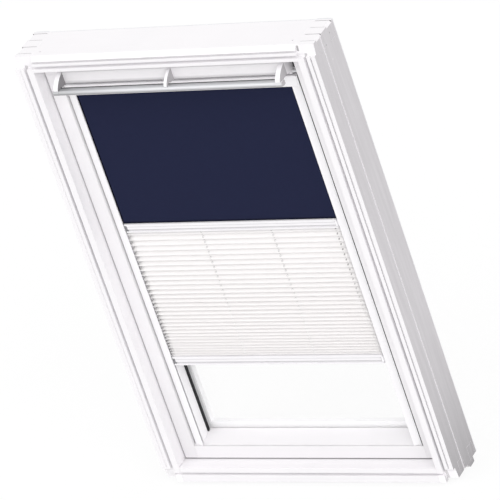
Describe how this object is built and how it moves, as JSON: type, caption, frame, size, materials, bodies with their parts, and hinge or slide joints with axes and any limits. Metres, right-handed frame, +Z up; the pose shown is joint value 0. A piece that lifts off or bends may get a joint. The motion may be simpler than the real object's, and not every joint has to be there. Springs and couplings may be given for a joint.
{
  "type": "roof_window_with_blind",
  "caption": "White centre-pivot roof window with a double blind in its sash: dark blackout cloth over white pleats, and a control bar on the ventilation flap",
  "frame": {"origin": "the middle of the bottom of the bounding box, under the sill's drip nose", "axes": "+X across the window, to the right when seen from the room; +Y out through the roof; +Z up the slope of the roof. The window is shown with its slope upright"},
  "size_m": [0.78, 0.1432, 1.192],
  "materials": {
    "paint": "white lacquer on wood, satin",
    "cover": "pale lacquered aluminium, satin",
    "steel": "zinc-plated, brushed",
    "rubber": "matt black",
    "glass": "clear, polished",
    "spacer": "mill finish",
    "foam": "open-cell filter foam",
    "plastic": "white-grey, matt",
    "bar_metal": "anodised, satin",
    "white_metal": "white powder coat",
    "glider": "dark grey, matt",
    "dark_cloth": "dark blue blackout cloth",
    "pleat_cloth": "white pleated cloth, translucent"
  },
  "bodies": {
    "frame": {"frame_head": "paint", "frame_sill": "paint", "drip_nose": "paint", "frame_jamb_left": "paint", "frame_jamb_right": "paint", "head_cover": "cover", "sill_cover": "cover", "jamb_cover_left": "cover", "jamb_cover_right": "cover", "frame_pivot_plate_left": "steel", "frame_pivot_plate_right": "steel", "striker_plate": "steel"},
    "sash": {"sash_top_rail": "paint", "sash_bottom_rail": "paint", "sash_stile_left": "paint", "sash_stile_right": "paint", "sash_cover_left": "cover", "sash_cover_right": "cover", "sash_cover_top": "cover", "sash_cover_bottom": "cover", "sash_pivot_plate_left": "steel", "sash_pivot_plate_right": "steel", "pivot_pin_left": "steel", "pivot_pin_right": "steel", "weather_seal": "rubber", "inner_pane": "glass", "outer_pane": "glass", "spacer_frame": "spacer", "vent_filter": "foam", "lock_case": "steel", "flap_pin_left": "steel", "flap_pin_right": "steel", "head_box": "white_metal", "head_box_cap_left": "white_metal", "head_box_cap_right": "white_metal", "blackout_cloth": "dark_cloth", "side_channel_left": "white_metal", "side_channel_right": "white_metal", "light_seal_left": "rubber", "light_seal_right": "rubber"},
    "flap": {"vent_flap": "paint", "bar_arm_left": "plastic", "bar_arm_middle": "plastic", "bar_arm_right": "plastic", "control_bar": "bar_metal", "bar_cap_left": "plastic", "bar_cap_right": "plastic"},
    "roller": {"roller_tube": "dark_cloth"},
    "middle_rail": {"middle_bar": "white_metal", "middle_glider_left": "glider", "middle_glider_right": "glider", "pleated_cloth": "pleat_cloth"},
    "bottom_rail": {"bottom_bar": "white_metal", "bottom_glider_left": "glider", "bottom_glider_right": "glider"}
  },
  "joints": [
    {"name": "sash_pivot", "type": "hinge", "parent": "frame", "child": "sash", "pos_m": [0, 0.0271, 0.60125], "axis": [1, 0, 0], "range_deg": [0, 180]},
    {"name": "vent_flap_hinge", "type": "hinge", "parent": "sash", "child": "flap", "pos_m": [0, -0.00615, 1.1057], "axis": [1, 0, 0], "range_deg": [0, 35]},
    {"name": "blackout_travel", "type": "slide", "parent": "sash", "child": "middle_rail", "axis": [0, 0, 1], "range_m": [-0.11, 0.35], "deforming": ["blackout_cloth"]},
    {"name": "pleat_travel", "type": "slide", "parent": "middle_rail", "child": "bottom_rail", "axis": [0, 0, 1], "range_m": [-0.105, 0.305], "deforming": ["pleated_cloth"]},
    {"name": "roller_spin", "type": "hinge", "parent": "sash", "child": "roller", "pos_m": [0, 0.00425, 1.0815], "axis": [1, 0, 0], "range_deg": [-1930, 607]}
  ],
  "couplings": [
    {"joint": "roller_spin", "follows": "blackout_travel", "rad_per_m": -96.154}
  ]
}
